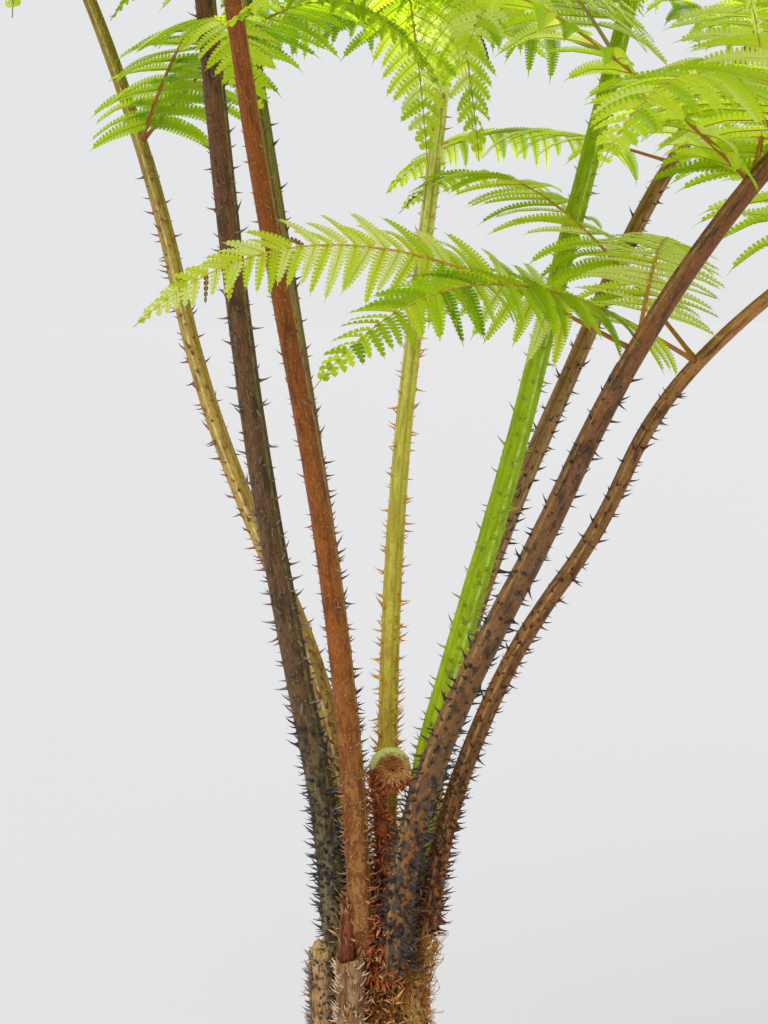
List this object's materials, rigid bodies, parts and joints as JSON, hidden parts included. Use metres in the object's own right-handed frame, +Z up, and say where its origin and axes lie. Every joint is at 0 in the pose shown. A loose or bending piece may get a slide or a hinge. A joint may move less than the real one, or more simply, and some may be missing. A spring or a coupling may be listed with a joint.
{
  "type": "tree fern",
  "caption": "Rooted spiny tree fern: slender trunk clad in old leaf bases, arching divided fronds on long bare prickly stalks all round its top, and a coiled young frond in the middle.",
  "frame": {"origin": "middle of the flat cut under the trunk, at ground level", "axes": "+Z straight up out of the ground, +X to the right and +Y away as the picture's camera stands"},
  "size_m": [2.7765, 2.7794, 2.555],
  "materials": {
    "bark": "rough, fibrous",
    "old_base": "dry, rough",
    "crozier": "scaly",
    "stipe_brown": "satin",
    "stipe_golden": "satin",
    "stipe_green": "satin",
    "stipe_dark": "satin",
    "stipe_rust": "satin",
    "stipe_olive": "satin",
    "frond_leaf": "soft leaf"
  },
  "bodies": {
    "root": {"trunk": "bark", "old_base_left": "old_base", "old_base_front": "old_base", "old_base_red": "old_base", "old_base_right": "old_base", "old_base_back": "old_base", "old_base_back_left": "old_base", "old_base_back_right": "old_base", "crozier_stalk": "crozier", "crozier_coil": "crozier", "stipe_right": "stipe_brown", "stipe_far_right": "stipe_brown", "stipe_back_right": "stipe_brown", "stipe_far_left": "stipe_golden", "stipe_green": "stipe_green", "stipe_left_dark": "stipe_dark", "stipe_left_rust": "stipe_rust", "stipe_middle": "stipe_olive", "stipe_back_left": "stipe_olive", "frond_right_inner": "frond_leaf", "frond_right_outer": "frond_leaf", "frond_far_right_inner": "frond_leaf", "frond_far_right_outer": "frond_leaf", "frond_far_left_inner": "frond_leaf", "frond_far_left_outer": "frond_leaf", "frond_back_right_inner": "frond_leaf", "frond_back_right_outer": "frond_leaf", "frond_green_inner": "frond_leaf", "frond_green_outer": "frond_leaf", "frond_left_dark_inner": "frond_leaf", "frond_left_dark_outer": "frond_leaf", "frond_left_rust_inner": "frond_leaf", "frond_left_rust_outer": "frond_leaf", "frond_middle_inner": "frond_leaf", "frond_middle_outer": "frond_leaf", "frond_back_left_inner": "frond_leaf", "frond_back_left_outer": "frond_leaf"}
  },
  "joints": []
}
